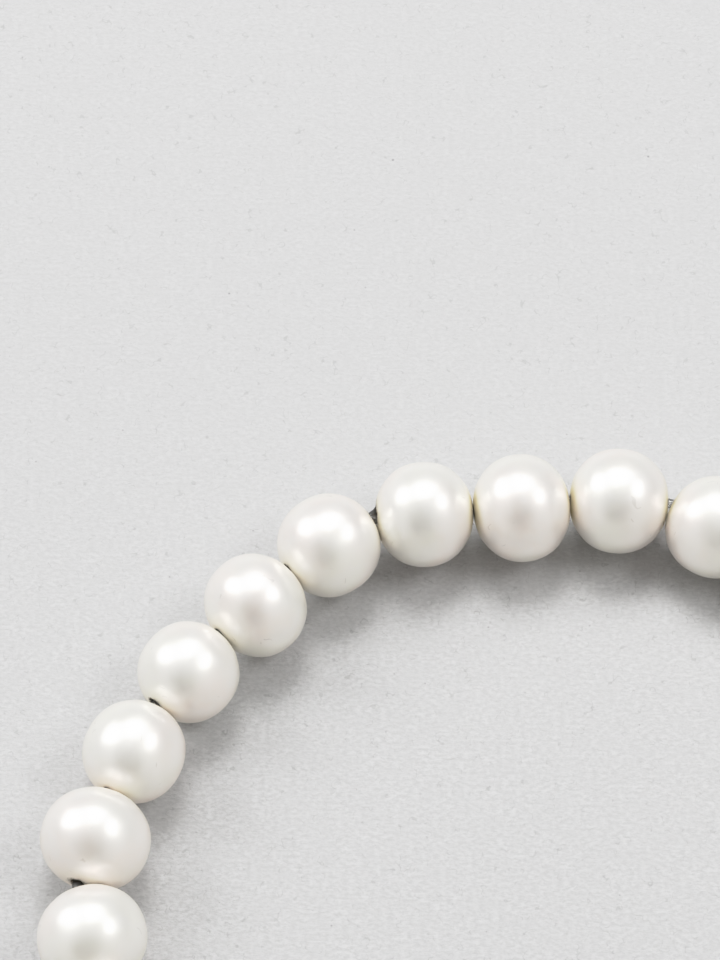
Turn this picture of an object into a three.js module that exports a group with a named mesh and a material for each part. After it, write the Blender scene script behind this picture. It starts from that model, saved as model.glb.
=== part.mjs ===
// Pearl stretch bracelet: a single row of near-round white pearls, strung edge to
// edge on a clear elastic cord that closes on itself. Millimetres, +Z up. The loop
// lies flat: every pearl rests on z = 0 and the origin is the middle of the outline.

import * as THREE from 'three';

// Driving dimensions.
const PEARL_COUNT = 28;
const TOUCH_GAP = 0.06; // clearance left between neighbouring pearls
const DRILL_RADIUS = 0.45; // hole through each pearl
const FULLNESS = 2.15; // 2 makes an ellipse, more makes fuller shoulders and flatter ends
const CORD_RADIUS = 0.35; // clear elastic in that hole
const START_ANGLE = 61; // degrees from +X to where the first pearl starts

// Facets of the solids.
const PEARL_SIDES = 16; // around the drill hole, one side facing straight down
const PEARL_BANDS = 9; // from one end of the hole to the other, the middle one upright
const CORD_SIDES = 8;

// Pearls that each have a size and place of their own, counter-clockwise.
//   across: diameter square to the thread
//   along:  diameter along the thread
//   out:    how far outside the plain ring the thread runs where this pearl starts
//   aside:  how far outside its drill hole the pearl's body sits
const OWN_PEARLS = [
  { across: 7.1, along: 6.7, out: 0.1, aside: 0.0 },
  { across: 7.3, along: 6.75, out: 1.0, aside: 0.1 },
  { across: 7.5, along: 6.6, out: 0.0, aside: -0.15 },
  { across: 7.3, along: 6.7, out: -0.5, aside: 0.0 },
  { across: 7.15, along: 6.85, out: 1.1, aside: 0.0 },
  { across: 7.25, along: 6.5, out: 0.2, aside: -0.2 },
  { across: 6.9, along: 6.6, out: -0.3, aside: -0.1 },
  { across: 6.85, along: 6.75, out: 0.1, aside: -0.15 },
  { across: 7.35, along: 6.6, out: 0.3, aside: -0.15 },
  { across: 7.2, along: 6.6, out: 1.0, aside: -0.15 },
  { across: 7.2, along: 6.65, out: -0.6, aside: 0.0 },
];

// The rest of the row repeats these three along the plain ring.
const PLAIN_PEARLS = [
  { across: 7.2, along: 6.7, out: 0.0, aside: 0.0 },
  { across: 7.3, along: 6.6, out: 0.0, aside: 0.0 },
  { across: 7.1, along: 6.65, out: 0.0, aside: 0.0 },
];

const PEARLS = Array.from({ length: PEARL_COUNT }, (_, i) =>
  i < OWN_PEARLS.length ? OWN_PEARLS[i] : PLAIN_PEARLS[i % PLAIN_PEARLS.length]);

// The thread lies level, at the middle of the widest pearl.
const THREAD_HEIGHT = Math.max(...PEARLS.map((pearl) => pearl.across)) / 2;

const next = (i) => (i + 1) % PEARL_COUNT;
const previous = (i) => (i + PEARL_COUNT - 1) % PEARL_COUNT;

// Distance from a pearl's middle to the point on its thread where it just meets the
// plane that halves a bend in the row.
function reach({ across, along }, bend) {
  const half = Math.abs(bend) / 2;
  const power = FULLNESS / (FULLNESS - 1);
  const endwise = ((along / 2) * Math.cos(half)) ** power;
  const sideways = ((across / 2) * Math.sin(half)) ** power;
  return (endwise + sideways) ** (1 / power) / Math.cos(half);
}

// Points where the thread passes from pearl to pearl, for a plain ring of this
// radius. The last one closes the loop only when the radius is right.
function threadPoints(ringRadius, lengths) {
  let angle = THREE.MathUtils.degToRad(START_ANGLE);
  const points = [];
  for (let i = 0; i <= PEARL_COUNT; i += 1) {
    const here = ringRadius + PEARLS[i % PEARL_COUNT].out;
    points.push({ x: here * Math.cos(angle), y: here * Math.sin(angle), angle });
    const there = ringRadius + PEARLS[(i + 1) % PEARL_COUNT].out;
    const length = lengths[i % PEARL_COUNT];
    angle += Math.acos((here ** 2 + there ** 2 - length ** 2) / (2 * here * there));
  }
  return points;
}

// Ring radius at which pearls of these lengths go round exactly once, by bisection.
function closingRadius(lengths) {
  const perimeter = lengths.reduce((sum, length) => sum + length, 0);
  let low = (0.8 * perimeter) / (2 * Math.PI);
  let high = (1.2 * perimeter) / (2 * Math.PI);
  for (let step = 0; step < 50; step += 1) {
    const middle = (low + high) / 2;
    const points = threadPoints(middle, lengths);
    const turned = points[PEARL_COUNT].angle - points[0].angle;
    if (turned > 2 * Math.PI) low = middle;
    else high = middle;
  }
  return high;
}

// Direction of the thread through each pearl, in radians from +X.
function threadHeadings(points) {
  return PEARLS.map((_, i) => Math.atan2(
    points[next(i)].y - points[i].y,
    points[next(i)].x - points[i].x,
  ));
}

// Bend of the row where each pearl starts, between -PI and PI.
function threadBends(headings) {
  return headings.map((heading, i) => {
    const turn = heading - headings[previous(i)];
    return Math.atan2(Math.sin(turn), Math.cos(turn));
  });
}

// A sharper bend pushes two pearls' middles apart, and that changes the bends, so
// the two are worked out in turn until they settle.
function stringPearls() {
  let lengths = PEARLS.map((pearl) => pearl.along + TOUCH_GAP);
  let points = [];
  let headings = [];
  for (let round = 0; round < 12; round += 1) {
    points = threadPoints(closingRadius(lengths), lengths).slice(0, PEARL_COUNT);
    headings = threadHeadings(points);
    const bends = threadBends(headings);
    lengths = PEARLS.map((pearl, i) =>
      reach(pearl, bends[i]) + reach(pearl, bends[next(i)]) + TOUCH_GAP);
  }
  return { points, headings, bends: threadBends(headings) };
}

// Half outline of a drilled pearl, turned about the thread: the round outside from
// one mouth of the hole to the other, closed by the wall of the hole. The outside
// is drawn large enough for the side that faces down to be flat at the true radius.
function pearlProfile({ across, along }) {
  const power = 2 / FULLNESS;
  const mouth = Math.asin((DRILL_RADIUS / (across / 2)) ** (1 / power));
  const band = (Math.PI - 2 * mouth) / PEARL_BANDS;
  const swell = 1 / (Math.cos(band / 2) ** power * Math.cos(Math.PI / PEARL_SIDES));
  const profile = [];
  for (let i = 0; i <= PEARL_BANDS; i += 1) {
    const slope = mouth + i * band;
    const isMouth = i === 0 || i === PEARL_BANDS;
    const radius = isMouth ? DRILL_RADIUS : (across / 2) * Math.sin(slope) ** power * swell;
    const reached = Math.abs(Math.cos(slope)) ** power;
    profile.push(new THREE.Vector2(radius, -Math.sign(Math.cos(slope)) * (along / 2) * reached));
  }
  profile.push(profile[0].clone());
  return profile;
}

// A pearl threaded along +X. Its drill hole stays on the axis, and its body hangs
// low enough to rest on z = 0, or sits a little to one side of the hole.
function pearlGeometry(pearl) {
  const sideAngle = (2 * Math.PI) / PEARL_SIDES;
  const geometry = new THREE.LatheGeometry(pearlProfile(pearl), PEARL_SIDES, sideAngle / 2);
  geometry.rotateZ(-Math.PI / 2);
  const drop = THREAD_HEIGHT - pearl.across / 2;
  const position = geometry.attributes.position;
  for (let i = 0; i < position.count; i += 1) {
    const fromAxis = Math.hypot(position.getY(i), position.getZ(i));
    if (fromAxis > 1.5 * DRILL_RADIUS) {
      position.setY(i, position.getY(i) - pearl.aside);
      position.setZ(i, position.getZ(i) - drop);
    }
  }
  geometry.computeVertexNormals();
  return geometry;
}

function nacre() {
  return new THREE.MeshStandardMaterial({ color: 0xefe9e1, roughness: 0.2, metalness: 0.0 });
}

function clearElastic() {
  return new THREE.MeshStandardMaterial({ color: 0xdcdcd8, roughness: 0.25, metalness: 0.0 });
}

function makePearl(i, { points, headings, bends }) {
  const mesh = new THREE.Mesh(pearlGeometry(PEARLS[i]), nacre());
  mesh.name = `pearl_${String(i + 1).padStart(2, '0')}`;
  const toMiddle = TOUCH_GAP / 2 + reach(PEARLS[i], bends[i]);
  mesh.position.set(
    points[i].x + toMiddle * Math.cos(headings[i]),
    points[i].y + toMiddle * Math.sin(headings[i]),
    THREAD_HEIGHT,
  );
  mesh.rotation.z = headings[i];
  return mesh;
}

// The cord is a ring with one straight length for each pearl. It starts as a torus
// whose sections are moved to the points between pearls and mitred at the bends.
function makeElasticCord({ points, headings, bends }) {
  const geometry = new THREE.TorusGeometry(1, CORD_RADIUS, CORD_SIDES, PEARL_COUNT);
  const position = geometry.attributes.position;
  const uv = geometry.attributes.uv;
  for (let vertex = 0; vertex < position.count; vertex += 1) {
    const i = Math.round(uv.getX(vertex) * PEARL_COUNT) % PEARL_COUNT;
    const around = 2 * Math.PI * uv.getY(vertex);
    const outward = headings[i] - bends[i] / 2 - Math.PI / 2;
    const side = (CORD_RADIUS * Math.cos(around)) / Math.cos(bends[i] / 2);
    position.setXYZ(
      vertex,
      points[i].x + side * Math.cos(outward),
      points[i].y + side * Math.sin(outward),
      THREAD_HEIGHT + CORD_RADIUS * Math.sin(around),
    );
  }
  geometry.computeVertexNormals();
  const mesh = new THREE.Mesh(geometry, clearElastic());
  mesh.name = 'elastic_cord';
  return mesh;
}

function makeBracelet() {
  const row = stringPearls();
  const bracelet = new THREE.Group();
  PEARLS.forEach((_, i) => bracelet.add(makePearl(i, row)));
  bracelet.add(makeElasticCord(row));
  const middle = new THREE.Box3().setFromObject(bracelet, true).getCenter(new THREE.Vector3());
  bracelet.position.set(-middle.x, -middle.y, 0);
  return bracelet;
}

const group = makeBracelet();

export default group;
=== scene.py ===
"""Looks of the pearl stretch bracelet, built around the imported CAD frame. Metres, +Z up."""

import math

import bpy
import numpy as np
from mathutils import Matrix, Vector, noise


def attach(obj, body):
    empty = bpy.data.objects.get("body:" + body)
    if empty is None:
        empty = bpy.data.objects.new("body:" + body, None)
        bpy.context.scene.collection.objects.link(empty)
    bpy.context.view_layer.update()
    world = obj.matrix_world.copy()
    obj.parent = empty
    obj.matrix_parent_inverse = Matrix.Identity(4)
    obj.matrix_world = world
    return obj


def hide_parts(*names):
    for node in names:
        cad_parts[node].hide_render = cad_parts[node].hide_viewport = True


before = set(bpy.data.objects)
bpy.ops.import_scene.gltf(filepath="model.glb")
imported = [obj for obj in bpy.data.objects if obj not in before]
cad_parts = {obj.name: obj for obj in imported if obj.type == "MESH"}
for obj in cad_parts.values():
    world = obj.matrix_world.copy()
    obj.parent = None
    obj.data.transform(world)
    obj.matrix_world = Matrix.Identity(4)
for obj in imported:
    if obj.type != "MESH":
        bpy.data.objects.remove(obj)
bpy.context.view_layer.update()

# Numbers that Blender gives: the sockets of a Mix node once it mixes colours, and the
# curve, after those of red, green and blue, that works on all three.
MIX_FACTOR, MIX_FIRST, MIX_SECOND, MIX_RESULT = 0, 6, 7, 2
SHARED_CURVE = 3

MM = 0.001
PEARL_NODES = sorted(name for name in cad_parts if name.startswith("pearl_"))
CORD_NODE = "elastic_cord"

# Camera: it looks down at the far left quarter of the loop.
CAMERA_TARGET = Vector((-12.6, 33.58, 0.0)) * MM
CAMERA_ELEVATION = math.radians(63.0)
CAMERA_DISTANCE = 239.3 * MM
CAMERA_LENS = 127.5  # millimetres, as is the sensor
CAMERA_SENSOR = 36.0
CAMERA_CLIP_START = 10.0 * MM

# Studio: azimuth is counter-clockwise from +X, radiance is in scene units.
LIGHT_DISTANCE = 0.6
SOFTBOXES = [
    # name, azimuth, elevation, width and height in degrees, radiance
    ("softbox_left", 154.0, 38.0, 23.0, 26.0, 7.6),
    ("softbox_back", 92.0, 61.0, 21.0, 18.0, 9.6),
    ("softbox_right", 6.0, 52.0, 25.0, 18.0, 6.8),
    ("veil", 100.0, 62.0, 66.0, 30.0, 1.6),
]
ROOM_BEYOND = 0.28  # radiance of the room behind the bracelet
ROOM_IN_FRONT = 0.72  # and on the camera's side
COLOUR_BEYOND = (1.0, 1.0, 1.0, 1.0)
COLOUR_IN_FRONT = (1.0, 0.96, 0.925, 1.0)  # a little peach, for the low sides of the pearls
DARK_SHAPES = [
    # azimuth and elevation, degrees from there to where it begins and to where it is
    # full, and the share of the room's light that is left there
    (256.0, 50.0, 42.0, 17.0, 0.03),
    (266.0, 12.0, 34.0, 10.0, 0.80),
]
RESPONSE = [
    # light in the scene, brightness in the picture
    (0.15, 0.16),
    (0.25, 0.265),
    (0.335, 0.355),
    (0.50, 0.55),
    (0.60, 0.65),
    (0.725, 0.735),
    (0.885, 0.815),
    (1.00, 0.865),
    (1.30, 0.965),
    (2.00, 1.0),
]

# Paper under the bracelet.
FLOOR_HALF_SIZE = 1.5
# The crisp grain is painted shading: the light brings the grain out more on the camera's side.
GRAIN_FADE = (10.0 * MM, 45.0 * MM)  # along Y, from where its grain is crisp to faint
GRAIN_SIZE = 0.24 * MM
GRAIN_HEIGHT = 0.02 * MM
GRAIN_STRETCH = 1.8  # how much longer than wide the grain is
MOTTLE_SIZE = 1.2 * MM
MOTTLE_STRETCH = 1.5
FAINT_GRAIN = ((0.500, 0.501, 0.505, 1.0), (0.582, 0.583, 0.588, 1.0))  # dark and pale
CRISP_GRAIN = ((0.470, 0.471, 0.475, 1.0), (0.612, 0.613, 0.618, 1.0))
MOTTLE_COLOUR = (0.520, 0.521, 0.525, 1.0)
PULP_HAIR_COLOUR = (0.15, 0.15, 0.15, 1.0)
FLECK_COLOUR = (0.10, 0.10, 0.10, 1.0)

# Colours and roughness of the pearls and the cord.
ROSY_NACRE = (0.932, 0.869, 0.814, 1.0)
CREAM_NACRE = (0.914, 0.902, 0.832, 1.0)
PALE_NACRE = (0.920, 0.904, 0.872, 1.0)
# Olive of the pearl ends: partly the nacre's own colour near the holes, partly painted warm
# bounce light between touching pearls.
OLIVE_NACRE_AND_BOUNCE = (0.84, 0.79, 0.62, 1.0)
SHEEN_COLOUR = (1.0, 0.94, 0.82, 1.0)
NACRE_ROUGHNESS = (0.34, 0.40)
DUST_COLOUR = (0.35, 0.33, 0.30, 1.0)
# Dark brown: dirt on the cord and round the pearls' mouths; on the pearls it is also painted
# shade down the drill holes.
DIRT_COLOUR = (0.050, 0.035, 0.014, 1.0)
CLOUDY_ELASTIC = (0.74, 0.74, 0.72, 1.0)
CLEAR_ELASTIC = (0.90, 0.90, 0.88, 1.0)
ELASTIC_ROUGHNESS = (0.03, 0.7)  # clean and dirty

# Pearl meshes.
FULLNESS = 2.15  # as in the CAD: 2 makes an ellipse, more makes flatter ends
RIM_TOLERANCE = 0.01 * MM  # a CAD pearl's points this near its end are round its hole
PEARL_SEGMENTS = 112  # around the thread
PEARL_RINGS = 84  # from one mouth of the drill hole to the other
TOUCHING_PART = 0.6  # how far out from the thread neighbours could touch, of the half width
OUTLINE_STEPS = 241
HOLE_RADIUS = 0.42 * MM
HOLE_PULL = (1.0 * MM, 2.6 * MM)  # from the thread to skin centred on the hole, on the body
REAR, FRONT = -1.0, 1.0  # the two ends of a pearl, along the thread
# A mouth of a drill hole: the radius where the drill broke through the skin, how far
# the rim wanders as a share of that, and how far past the rim the stain spreads.
USUAL_MOUTH = (0.46 * MM, 0.15, 0.05 * MM)
CHIPPED_MOUTHS = {
    ("pearl_02", REAR): (0.56 * MM, 0.30, 0.15 * MM),
    ("pearl_04", FRONT): (0.90 * MM, 0.60, 0.45 * MM),
    ("pearl_05", FRONT): (0.52 * MM, 0.30, 0.10 * MM),
    ("pearl_07", FRONT): (0.56 * MM, 0.30, 0.12 * MM),
    ("pearl_09", FRONT): (0.62 * MM, 0.40, 0.28 * MM),
}
RIM_WAVES = 2.2  # more gives a rim that wanders in and out more often
MOUTH_DEPTH = 0.25 * MM  # of its flared edge
MOUTH_TURNS = (0.3, 0.6, 0.8, 1.0)  # the rings of that edge, as shares of a quarter turn
# The olive ends stand partly for painted bounce light where pearls touch.
END_TINT = (1.0 * MM, 2.3 * MM)  # from the hole to where the olive ends are full and gone
OLIVE_PEARLS = ("pearl_01", "pearl_02", "pearl_03", "pearl_04")
USUAL_OLIVE = 0.2  # how olive the ends of the other pearls are
# The skin keeps its true shape near the neighbours and near the surface it lies on,
# from these shares of the half length and of the half height.
TRUE_ENDS = (0.80, 0.92)
TRUE_UNDERSIDE = (0.93, 1.0)
LUMPS = [
    # size and height of the unevenness of the skin
    (2.6 * MM, 0.055 * MM),
    (1.3 * MM, 0.014 * MM),
    (0.7 * MM, 0.004 * MM),
]

# Elastic cord.
CORD_RADIUS = 0.33 * MM
CORD_SIDES = 24
CORD_STEPS = 32  # sections for each pearl
DIRT_LUMPS = 0.25 * MM  # size of the lumps in the dirt
DIRT_MIDDLE = 0.4 * MM  # from the middle of the cord to about the middle of the dirt
DIRTY_MOUTHS = {
    # pearl and end: how thick the dirt is on the cord there, and over what length
    ("pearl_04", FRONT): (0.40 * MM, 0.09 * MM),
    ("pearl_09", FRONT): (0.06 * MM, 0.20 * MM),
}
DIRT_REACH = (0.08 * MM, 0.24 * MM)  # from such a mouth to where the dirt is full and gone


def smoothstep(low, high, x):
    t = np.clip((x - low) / (high - low), 0.0, 1.0)
    return t * t * (3.0 - 2.0 * t)


# ---------------------------------------------------------------- camera and studio


def direction(azimuth, elevation):
    a, e = math.radians(azimuth), math.radians(elevation)
    return Vector((math.cos(e) * math.cos(a), math.cos(e) * math.sin(a), math.sin(e)))


def look_at(obj, target):
    obj.rotation_euler = (target - obj.location).to_track_quat("-Z", "Y").to_euler()


def add_camera():
    data = bpy.data.cameras.new("camera")
    data.lens = CAMERA_LENS
    data.sensor_width = CAMERA_SENSOR
    data.clip_start = CAMERA_CLIP_START
    camera = bpy.data.objects.new("camera", data)
    bpy.context.scene.collection.objects.link(camera)
    back = Vector((0.0, -math.cos(CAMERA_ELEVATION), math.sin(CAMERA_ELEVATION)))
    camera.location = CAMERA_TARGET + CAMERA_DISTANCE * back
    look_at(camera, CAMERA_TARGET)
    bpy.context.scene.camera = camera


def add_softbox(name, azimuth, elevation, width, height, radiance):
    data = bpy.data.lights.new(name, "AREA")
    data.shape = "RECTANGLE"
    data.size = 2.0 * LIGHT_DISTANCE * math.tan(math.radians(width / 2.0))
    data.size_y = 2.0 * LIGHT_DISTANCE * math.tan(math.radians(height / 2.0))
    data.energy = math.pi * radiance * data.size * data.size_y
    lamp = bpy.data.objects.new(name, data)
    bpy.context.scene.collection.objects.link(lamp)
    lamp.location = CAMERA_TARGET + LIGHT_DISTANCE * direction(azimuth, elevation)
    look_at(lamp, CAMERA_TARGET)
    lamp.visible_camera = False


def add_world():
    """A pale room, brightest in front, with the dark shapes of someone at the camera."""
    world = bpy.data.worlds.new("studio")
    world.use_nodes = True
    tree = world.node_tree
    background = tree.nodes["Background"]
    toward = add_node(tree, "ShaderNodeTexCoord").outputs["Generated"]
    ahead = add_node(tree, "ShaderNodeSeparateXYZ", {"Vector": toward}).outputs["Y"]
    colour = mix_colours(tree, spread(tree, ahead, -0.3, 0.3), COLOUR_IN_FRONT, COLOUR_BEYOND)
    room = spread(tree, ahead, -0.5, 0.4, ROOM_IN_FRONT, ROOM_BEYOND)
    for azimuth, elevation, begins, full, light in DARK_SHAPES:
        inputs = {0: toward, 1: direction(azimuth, elevation)}
        nearness = add_node(tree, "ShaderNodeVectorMath", inputs, operation="DOT_PRODUCT")
        edges = (math.cos(math.radians(begins)), math.cos(math.radians(full)))
        room = multiply(tree, room, spread(tree, nearness.outputs["Value"], *edges, 1.0, light))
    set_inputs(tree, background, {"Color": colour, "Strength": room})
    bpy.context.scene.world = world


def add_camera_response():
    """The soft S of a camera: deeper shadows, and highlights that roll off to white."""
    view = bpy.context.scene.view_settings
    view.view_transform = "Standard"
    view.use_curve_mapping = True
    brightest = RESPONSE[-1][0]
    mapping = view.curve_mapping
    mapping.white_level = (brightest, brightest, brightest)
    mapping.extend = "HORIZONTAL"
    points = mapping.curves[SHARED_CURVE].points
    points[0].location = (0.0, 0.0)
    points[1].location = (1.0, 1.0)
    for light, value in RESPONSE[:-1]:
        points.new(light / brightest, value)
    for point in points:
        point.handle_type = "AUTO_CLAMPED"
    mapping.update()


def add_studio():
    for row in SOFTBOXES:
        add_softbox(*row)
    add_world()
    add_camera_response()


# ---------------------------------------------------------------- materials


def set_inputs(tree, node, inputs):
    """Give each input, named or numbered, its value or its link."""
    for key, value in inputs.items():
        if isinstance(value, bpy.types.NodeSocket):
            tree.links.new(value, node.inputs[key])
        else:
            node.inputs[key].default_value = value


def add_node(tree, kind, inputs=None, **settings):
    """A new node with its settings and its inputs."""
    node = tree.nodes.new(kind)
    for key, value in settings.items():
        setattr(node, key, value)
    set_inputs(tree, node, inputs or {})
    return node


def object_place(tree, stretch=1.0):
    """Where a point is, in metres, with what follows drawn out along X by this much."""
    place = add_node(tree, "ShaderNodeTexCoord").outputs["Object"]
    inputs = {0: place, 1: (1.0 / stretch, 1.0, 1.0)}
    return add_node(tree, "ShaderNodeVectorMath", inputs, operation="MULTIPLY").outputs["Vector"]


def add_noise(tree, size, detail=2.0, roughness=0.5, stretch=1.0):
    """Noise whose features are about this size, in metres. Its Fac output."""
    inputs = {"Vector": object_place(tree, stretch), "Scale": 1.0 / size}
    inputs.update({"Detail": detail, "Roughness": roughness})
    return add_node(tree, "ShaderNodeTexNoise", inputs).outputs["Fac"]


def spread(tree, value, low, high, to_low=0.0, to_high=1.0):
    """Stretch a value from one range to another, smoothly and clamped."""
    inputs = {"Value": value, "From Min": low, "From Max": high}
    inputs.update({"To Min": to_low, "To Max": to_high})
    kind = "ShaderNodeMapRange"
    return add_node(tree, kind, inputs, interpolation_type="SMOOTHSTEP").outputs["Result"]


def mix_colours(tree, share, first, second):
    """Mix two colours, each given as numbers or as a link. The mixed colour."""
    node = add_node(tree, "ShaderNodeMix", data_type="RGBA")
    set_inputs(tree, node, {MIX_FACTOR: share, MIX_FIRST: first, MIX_SECOND: second})
    return node.outputs[MIX_RESULT]


def multiply(tree, first, second):
    node = add_node(tree, "ShaderNodeMath", {0: first, 1: second}, operation="MULTIPLY")
    return node.outputs["Value"]


def new_material(name):
    material = bpy.data.materials.new(name)
    material.use_nodes = True
    tree = material.node_tree
    return material, tree, tree.nodes["Principled BSDF"]


def add_bump(tree, shader, height, distance):
    inputs = {"Height": height, "Distance": distance, "Strength": 1.0}
    bump = add_node(tree, "ShaderNodeBump", inputs)
    set_inputs(tree, shader, {"Normal": bump.outputs["Normal"]})


def add_flecks(tree, spacing, size):
    """1 on sparse specks of this size, one in each cell of this spacing."""
    inputs = {"Vector": object_place(tree), "Scale": 1.0 / spacing}
    cells = add_node(tree, "ShaderNodeTexVoronoi", inputs)
    return spread(tree, cells.outputs["Distance"], 0.5 * size / spacing, size / spacing, 1.0, 0.0)


def add_fibres(tree, curl, patch, rarity):
    """1 on short curled hairs. They follow one level of a noise of this size, and show
    only where a second noise, of the patch's size, rises above the rarity."""
    level = add_noise(tree, curl, detail=1.0)
    off = add_node(tree, "ShaderNodeMath", {0: level, 1: 0.5}, operation="SUBTRACT")
    away = add_node(tree, "ShaderNodeMath", {0: off.outputs["Value"]}, operation="ABSOLUTE")
    line = spread(tree, away.outputs["Value"], 0.004, 0.016, 1.0, 0.0)
    shown = spread(tree, add_noise(tree, patch, detail=0.0), rarity, rarity + 0.03)
    return multiply(tree, line, shown)


def floor_material():
    """Pale paper card: a fine grain that runs one way, with a few specks and hairs in the pulp.
    The grain's contrast grows towards the camera: painted shading of the grain, where the light
    brings it out more."""
    material, tree, shader = new_material("paper_card")
    fine = add_noise(tree, GRAIN_SIZE, detail=4.0, roughness=0.7, stretch=GRAIN_STRETCH)
    coarse = add_noise(tree, MOTTLE_SIZE, detail=2.0, roughness=0.6, stretch=MOTTLE_STRETCH)
    grain = spread(tree, fine, 0.32, 0.68)
    mottle = spread(tree, coarse, 0.36, 0.64)
    faint = mix_colours(tree, grain, *FAINT_GRAIN)
    crisp = mix_colours(tree, grain, *CRISP_GRAIN)
    place = add_node(tree, "ShaderNodeSeparateXYZ", {"Vector": object_place(tree)})
    # Stronger grain contrast towards the camera: painted shading of the grain.
    near = spread(tree, place.outputs["Y"], *GRAIN_FADE, 1.0, 0.0)
    pale = mix_colours(tree, near, faint, crisp)
    paper = mix_colours(tree, multiply(tree, mottle, 0.4), pale, MOTTLE_COLOUR)
    hairs = multiply(tree, add_fibres(tree, 0.9 * MM, 0.7 * MM, 0.58), 0.25)
    haired = mix_colours(tree, hairs, paper, PULP_HAIR_COLOUR)
    small = multiply(tree, add_flecks(tree, 2.4 * MM, 0.10 * MM), 0.35)
    large = multiply(tree, add_flecks(tree, 6.5 * MM, 0.14 * MM), 0.50)
    flecked = mix_colours(tree, small, haired, FLECK_COLOUR)
    colour = mix_colours(tree, large, flecked, FLECK_COLOUR)
    inputs = {"Base Color": colour, "Roughness": 0.9, "Specular IOR Level": 0.1}
    set_inputs(tree, shader, inputs)
    add_bump(tree, shader, grain, GRAIN_HEIGHT)
    return material


def nacre_colour(tree):
    """Warm white that drifts between rosy and cream, paler in clouds, and turns olive towards the
    drill holes: partly the nacre's own colour where its layers end, partly painted warm bounce
    light where neighbours touch."""
    drift = spread(tree, add_noise(tree, 5.0 * MM, detail=1.0), 0.38, 0.62)
    cloud = spread(tree, add_noise(tree, 1.8 * MM), 0.35, 0.65)
    warm = mix_colours(tree, drift, ROSY_NACRE, CREAM_NACRE)
    body = mix_colours(tree, multiply(tree, cloud, 0.5), warm, PALE_NACRE)
    near_end = add_node(tree, "ShaderNodeAttribute", attribute_name="near_end").outputs["Fac"]
    uneven = spread(tree, add_noise(tree, 0.9 * MM), 0.35, 0.65, 0.6, 1.0)
    return mix_colours(tree, multiply(tree, near_end, uneven), body, OLIVE_NACRE_AND_BOUNCE)


def nacre_material():
    """Layers of nacre: a pale body under a broad soft gloss and a thin sharper one, with a few
    dust hairs, and dark brown where the mesh is stained: real dirt round the drill holes' mouths,
    and painted shade down the drill holes."""
    material, tree, shader = new_material("nacre")
    # The stain share paints dark brown: real dirt round the mouths, painted shade inside the
    # drill holes.
    stain = add_node(tree, "ShaderNodeAttribute", attribute_name="stain").outputs["Fac"]
    speckle = add_noise(tree, 0.22 * MM, detail=3.0, roughness=0.7)
    specks = spread(tree, speckle, 0.38, 0.60, 0.25, 1.0)
    dirt = multiply(tree, stain, specks)
    dust = multiply(tree, add_fibres(tree, 1.5 * MM, 1.1 * MM, 0.735), 0.28)
    dusty = mix_colours(tree, dust, nacre_colour(tree), DUST_COLOUR)
    colour = mix_colours(tree, dirt, dusty, DIRT_COLOUR)
    roughness = spread(tree, add_noise(tree, 1.3 * MM), 0.3, 0.7, *NACRE_ROUGHNESS)
    set_inputs(tree, shader, {"Base Color": colour, "Roughness": roughness})
    set_inputs(tree, shader, {"Metallic": 0.44, "Specular Tint": SHEEN_COLOUR, "IOR": 1.6})
    set_inputs(tree, shader, {"Coat Weight": 0.35, "Coat Roughness": 0.12})
    return material


def elastic_material():
    """Clear stretch elastic, slightly cloudy, and matt brown where it is dirty."""
    material, tree, shader = new_material("clear_elastic")
    cloud = spread(tree, add_noise(tree, 0.6 * MM), 0.35, 0.65)
    clear = mix_colours(tree, cloud, CLOUDY_ELASTIC, CLEAR_ELASTIC)
    stain = add_node(tree, "ShaderNodeAttribute", attribute_name="stain").outputs["Fac"]
    colour = mix_colours(tree, stain, clear, DIRT_COLOUR)
    roughness = spread(tree, stain, 0.0, 1.0, *ELASTIC_ROUGHNESS)
    set_inputs(tree, shader, {"Base Color": colour, "Roughness": roughness})
    set_inputs(tree, shader, {"IOR": 1.5, "Transmission Weight": 0.95})
    return material


# ---------------------------------------------------------------- shapes from the frame


def node_vertices(name):
    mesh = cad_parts[name].data
    co = np.zeros(len(mesh.vertices) * 3)
    mesh.vertices.foreach_get("co", co)
    return co.reshape(-1, 3)


def thread_heading(co):
    """Direction of the thread through a pearl, counter-clockwise round the origin. It is
    the one in which the pearl's points spread most when they are seen from above."""
    covariance = np.cov(co[:, :2].T)
    heading = 0.5 * math.atan2(2.0 * covariance[0, 1], covariance[0, 0] - covariance[1, 1])
    middle = co.mean(0)
    if middle[0] * math.sin(heading) < middle[1] * math.cos(heading):
        heading += math.pi
    return heading


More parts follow.
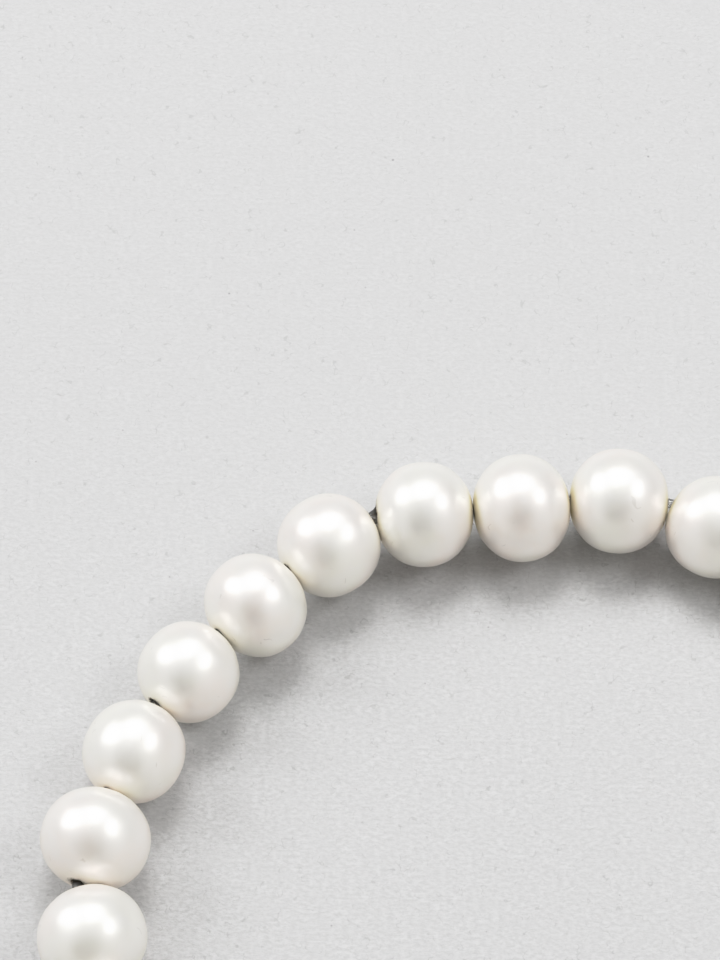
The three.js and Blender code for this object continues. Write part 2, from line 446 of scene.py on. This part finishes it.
class Pearl:
    """Where a CAD pearl lies: its middle, half sizes, thread direction and drill hole."""

    def __init__(self, name):
        self.name = name
        co = node_vertices(name)
        heading = thread_heading(co)
        self.along = np.array((math.cos(heading), math.sin(heading), 0.0))
        self.side = np.array((-math.sin(heading), math.cos(heading), 0.0))
        low = [(co @ axis).min() for axis in (self.along, self.side)]
        high = [(co @ axis).max() for axis in (self.along, self.side)]
        self.half_across = co[:, 2].max() / 2.0  # the pearl rests on z = 0
        self.middle = (
            self.along * (high[0] + low[0]) / 2.0
            + self.side * (high[1] + low[1]) / 2.0
            + np.array((0.0, 0.0, self.half_across))
        )
        front = co[co @ self.along > high[0] - RIM_TOLERANCE]
        rear = co[co @ self.along < low[0] + RIM_TOLERANCE]
        self.mouths = (rear.mean(0), front.mean(0))
        drill_radius = np.linalg.norm(front - front.mean(0), axis=1).max()
        # The drill hole cuts the tips off. The half length here is the one with its tip.
        kept = (1.0 - (drill_radius / self.half_across) ** FULLNESS) ** (1.0 / FULLNESS)
        half_along = (high[0] - low[0]) / 2.0 / kept
        self.half_along = {REAR: half_along, FRONT: half_along}
        hole = (rear.mean(0) + front.mean(0)) / 2.0 - self.middle
        self.hole = np.array((hole @ self.side, hole[2]))

    def place(self, points):
        """From the pearl's own axes (along, side, up) to the frame."""
        up = np.array((0.0, 0.0, 1.0))
        return (
            self.middle
            + points[:, 0:1] * self.along
            + points[:, 1:2] * self.side
            + points[:, 2:3] * up
        )


# ---------------------------------------------------------------- pearls


def skin_depth(pearl, end, across):
    """How far along the thread the skin lies, at points given square to the thread."""
    share = (across**2).sum(1) / pearl.half_across**2
    depth = np.clip(1.0 - share ** (FULLNESS / 2.0), 0.0, 1.0) ** (1.0 / FULLNESS)
    return end * pearl.half_along[end] * depth


def end_outline(pearl, end):
    """The level outline of one end of a pearl, where it comes nearest to its neighbour."""
    aside = np.linspace(-TOUCHING_PART, TOUCHING_PART, OUTLINE_STEPS) * pearl.half_across
    across = np.column_stack((aside, np.zeros(len(aside))))
    return pearl.place(np.column_stack((skin_depth(pearl, end, across), across)))[:, :2]


def close_gaps(pearls):
    """Lengthen the ends of neighbours, which start a little apart, until they just touch."""
    for pearl, following in zip(pearls, pearls[1:] + pearls[:1]):
        apart = end_outline(pearl, FRONT)[:, None] - end_outline(following, REAR)[None]
        gap = np.linalg.norm(apart, axis=2).min()
        pearl.half_along[FRONT] += gap / 2.0
        following.half_along[REAR] += gap / 2.0


class Mouth:
    """One end of a drill hole: its radius, the outline of its chipped rim and its stain."""

    def __init__(self, pearl, end, circle, seed):
        self.radius, chips, reach = CHIPPED_MOUTHS.get((pearl.name, end), USUAL_MOUTH)
        places = np.column_stack((RIM_WAVES * circle, np.full(len(circle), seed * 7.31 + end)))
        wander = [noise.noise(Vector(place)) for place in places]
        self.wobble = 1.0 + chips * np.array(wander)
        self.stain_edge = self.radius + reach


def pearl_rings(pearl, mouths, circle):
    """Rings of points from the rear mouth over the skin to the front mouth, and back
    through the drill hole. Each ring is a row of (along, side, up)."""
    rear_start, front_start = (
        math.asin((mouths[end].radius / pearl.half_across) ** (FULLNESS / 2.0))
        for end in (REAR, FRONT)
    )
    skin = []
    for slope in np.linspace(rear_start, math.pi - front_start, PEARL_RINGS):
        end = REAR if slope < math.pi / 2.0 else FRONT
        mouth = mouths[end]
        radius = pearl.half_across * math.sin(slope) ** (2.0 / FULLNESS)
        pull = 1.0 - smoothstep(*HOLE_PULL, radius)
        near_rim = 1.0 - smoothstep(mouth.radius, 2.0 * mouth.radius, radius)
        wobble = 1.0 + (mouth.wobble - 1.0) * near_rim
        across = pearl.hole * pull + circle * (radius * wobble)[:, None]
        skin.append(np.column_stack((skin_depth(pearl, end, across), across)))
    front = mouth_rings(pearl, mouths[FRONT], circle, skin[-1], -1.0)
    rear = mouth_rings(pearl, mouths[REAR], circle, skin[0], 1.0)
    return skin + front + rear[::-1]


def mouth_rings(pearl, mouth, circle, rim, inward):
    """Rings from the rim of the drill hole down its flared edge to its straight wall."""
    widest = mouth.radius * mouth.wobble
    rings = []
    for turn in MOUTH_TURNS:
        angle = turn * math.pi / 2.0
        radius = widest + (HOLE_RADIUS - widest) * math.sin(angle)
        depth = MOUTH_DEPTH * (1.0 - math.cos(angle))
        across = pearl.hole + circle * radius[:, None]
        rings.append(np.column_stack((rim[:, 0] + inward * depth, across)))
    return rings


def roughen(pearl, points, seed):
    """Press the skin in a little here and there, but not where it may touch anything."""
    half_along = np.where(points[:, 0] > 0.0, pearl.half_along[FRONT], pearl.half_along[REAR])
    far = np.abs(points[:, 0]) / half_along
    low = -points[:, 2] / pearl.half_across
    free = (1.0 - smoothstep(*TRUE_ENDS, far)) * (1.0 - smoothstep(*TRUE_UNDERSIDE, low))
    drop = np.zeros(len(points))
    for size, height in LUMPS:
        offset = Vector((seed * 3.7, seed * 5.1, size / MM))  # another part of the noise
        values = [noise.noise(Vector(point) / size + offset) for point in points.tolist()]
        drop += height * (0.5 + 0.5 * np.array(values))
    outward = points / np.linalg.norm(points, axis=1)[:, None]
    return points - outward * (drop * free)[:, None]


def end_colours(pearl, mouths, points):
    """Two shares for each point. The first is how stained it is: 1 inside the drill hole, where
    its dark brown is painted shade, and fading out past its mouths as real dirt. The second is
    how olive it is: full round the mouths and fading out further on, partly the nacre's own
    colour and partly painted warm bounce light between touching pearls."""
    from_hole = np.linalg.norm(points[:, 1:] - pearl.hole, axis=1)
    at_front = points[:, 0] > 0.0
    radius = np.where(at_front, mouths[FRONT].radius, mouths[REAR].radius)
    edge = np.where(at_front, mouths[FRONT].stain_edge, mouths[REAR].stain_edge)
    stain = 1.0 - smoothstep(0.9 * radius, edge, from_hole)
    # Olive share: partly the nacre's own colour, partly painted warm bounce light at the
    # contacts.
    olive = 1.0 if pearl.name in OLIVE_PEARLS else USUAL_OLIVE
    return stain, olive * (1.0 - smoothstep(*END_TINT, from_hole))


def tube_faces(count, segments):
    """Quads between rings of points that close on themselves both ways."""
    ring, point = np.meshgrid(np.arange(count), np.arange(segments), indexing="ij")
    after_ring, after_point = (ring + 1) % count, (point + 1) % segments
    corners = (
        ring * segments + point,
        ring * segments + after_point,
        after_ring * segments + after_point,
        after_ring * segments + point,
    )
    return np.stack(corners, -1).reshape(-1, 4).tolist()


def smooth_mesh(name, points, faces):
    mesh = bpy.data.meshes.new(name)
    mesh.from_pydata(points.tolist(), [], faces)
    mesh.shade_smooth()
    return mesh


def add_share(mesh, name, values):
    """A share from 0 to 1 at each point, which a material reads by its name."""
    mesh.attributes.new(name, "FLOAT", "POINT").data.foreach_set("value", values)


def pearl_mesh(pearl, seed):
    theta = np.linspace(0.0, 2.0 * math.pi, PEARL_SEGMENTS, endpoint=False)
    circle = np.stack((np.cos(theta), np.sin(theta)), 1)
    mouths = {end: Mouth(pearl, end, circle, seed) for end in (REAR, FRONT)}
    rings = pearl_rings(pearl, mouths, circle)
    skin_size = PEARL_RINGS * PEARL_SEGMENTS
    points = np.concatenate(rings)
    # stain: painted shade inside the drill hole and dirt round its mouths; near_end: olive ends,
    # partly painted bounce light.
    stain, near_end = end_colours(pearl, mouths, points)
    points[:skin_size] = roughen(pearl, points[:skin_size], seed)
    mesh = smooth_mesh(pearl.name, pearl.place(points), tube_faces(len(rings), PEARL_SEGMENTS))
    add_share(mesh, "stain", stain)
    add_share(mesh, "near_end", near_end)
    return mesh


def add_piece(name, mesh, node, material):
    piece = bpy.data.objects.new(name, mesh)
    bpy.context.scene.collection.objects.link(piece)
    mesh.materials.append(material)
    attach(piece, "root")
    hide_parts(node)


def add_pearls(pearls):
    material = nacre_material()
    for seed, pearl in enumerate(pearls):
        mesh = pearl_mesh(pearl, float(seed))
        add_piece(pearl.name + "_nacre", mesh, pearl.name, material)


# ---------------------------------------------------------------- cord


def cord_line(pearls):
    """Points down the middle of the cord, through every drill hole in turn, and closer
    together towards its mouths."""
    points = []
    for pearl in pearls:
        rear, front = pearl.mouths
        for step in range(CORD_STEPS):
            share = 0.5 - 0.5 * math.cos(math.pi * (step + 0.5) / CORD_STEPS)
            points.append(rear + (front - rear) * share)
    return np.array(points)


def dirt_on_cord(pearls, points):
    """For each point of the cord, how stained it is and how thick the dirt is there."""
    stain, thickness = np.zeros(len(points)), np.zeros(len(points))
    for pearl in pearls:
        for end, mouth in zip((REAR, FRONT), pearl.mouths):
            if (pearl.name, end) in DIRTY_MOUTHS:
                thick, length = DIRTY_MOUTHS[pearl.name, end]
                distance = np.linalg.norm(points - mouth, axis=1)
                stain = np.maximum(stain, 1.0 - smoothstep(*DIRT_REACH, distance))
                thickness += thick * (1.0 - smoothstep(0.3 * length, length, distance))
    return stain, thickness


def cord_mesh(pearls):
    line = cord_line(pearls)
    stain, thickness = dirt_on_cord(pearls, line)
    ahead = np.roll(line, -1, axis=0) - np.roll(line, 1, axis=0)
    ahead /= np.linalg.norm(ahead, axis=1)[:, None]
    side = np.column_stack((-ahead[:, 1], ahead[:, 0], np.zeros(len(line))))
    up = np.array((0.0, 0.0, 1.0))
    rings = []
    for angle in np.linspace(0.0, 2.0 * math.pi, CORD_SIDES, endpoint=False):
        outward = math.cos(angle) * side + math.sin(angle) * up
        places = (line + DIRT_MIDDLE * outward) / DIRT_LUMPS
        lumps = np.array([noise.noise(Vector(place)) for place in places])
        radius = CORD_RADIUS + thickness * (0.7 + 1.2 * lumps)
        rings.append(line + radius[:, None] * outward)
    points = np.stack(rings, 1).reshape(-1, 3)
    mesh = smooth_mesh("elastic", points, tube_faces(len(line), CORD_SIDES))
    add_share(mesh, "stain", np.repeat(stain, CORD_SIDES))
    return mesh


# ---------------------------------------------------------------- floor and sizes


def add_floor():
    mesh = bpy.data.meshes.new("floor")
    signs = ((-1.0, -1.0), (1.0, -1.0), (1.0, 1.0), (-1.0, 1.0))
    corners = [(x * FLOOR_HALF_SIZE, y * FLOOR_HALF_SIZE, 0.0) for x, y in signs]
    mesh.from_pydata(corners, [], [(0, 1, 2, 3)])
    floor = bpy.data.objects.new("floor", mesh)
    bpy.context.scene.collection.objects.link(floor)
    mesh.materials.append(floor_material())


add_camera()
add_studio()
add_floor()
PEARLS = [Pearl(name) for name in PEARL_NODES]
close_gaps(PEARLS)
add_pearls(PEARLS)
add_piece("elastic_strand", cord_mesh(PEARLS), CORD_NODE, elastic_material())
